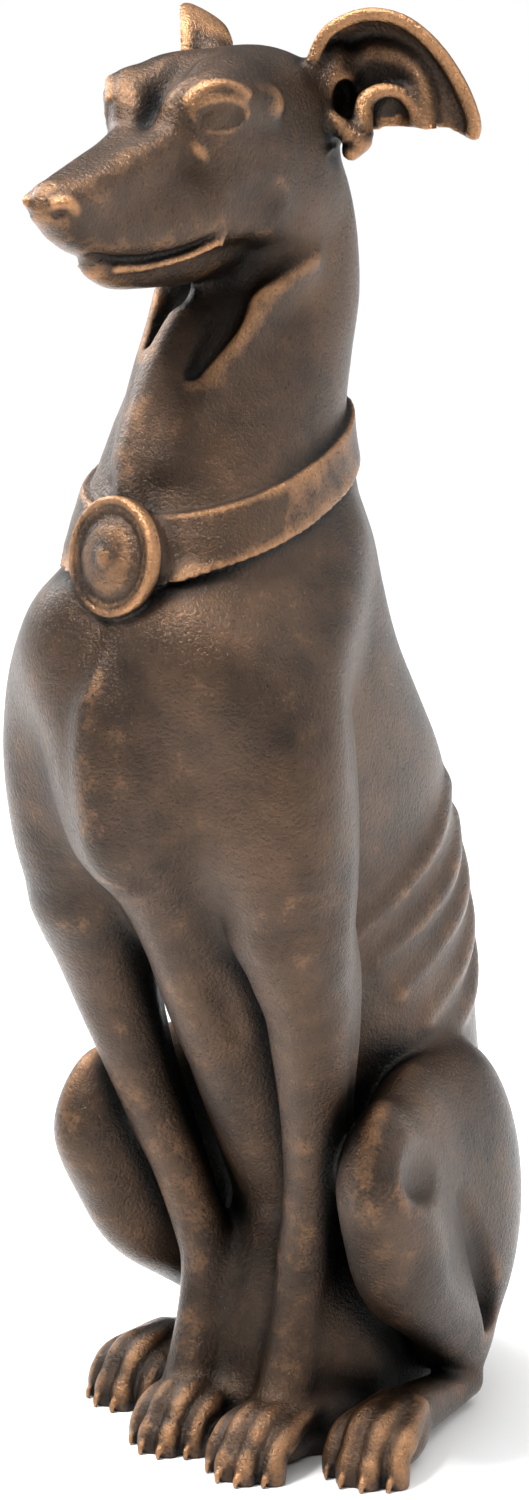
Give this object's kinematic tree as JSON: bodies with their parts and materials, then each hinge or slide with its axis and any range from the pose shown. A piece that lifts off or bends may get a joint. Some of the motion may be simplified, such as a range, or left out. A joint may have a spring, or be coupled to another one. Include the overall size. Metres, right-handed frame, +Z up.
{
  "type": "dog statue",
  "caption": "Seated greyhound statue in patinated cast iron, with its ears held out and a collar carrying a round medallion.",
  "frame": {"origin": "middle of the footprint box, on the ground plane the statue stands on", "axes": "+Z up; the dog sits facing -Y; +X is towards the dog's left side"},
  "size_m": [0.2339, 0.3808, 0.7557],
  "materials": {
    "casting": "antique bronze patina, dark in the hollows and rubbed coppery on the high spots"
  },
  "bodies": {
    "root": {"greyhound": "casting"}
  },
  "joints": []
}
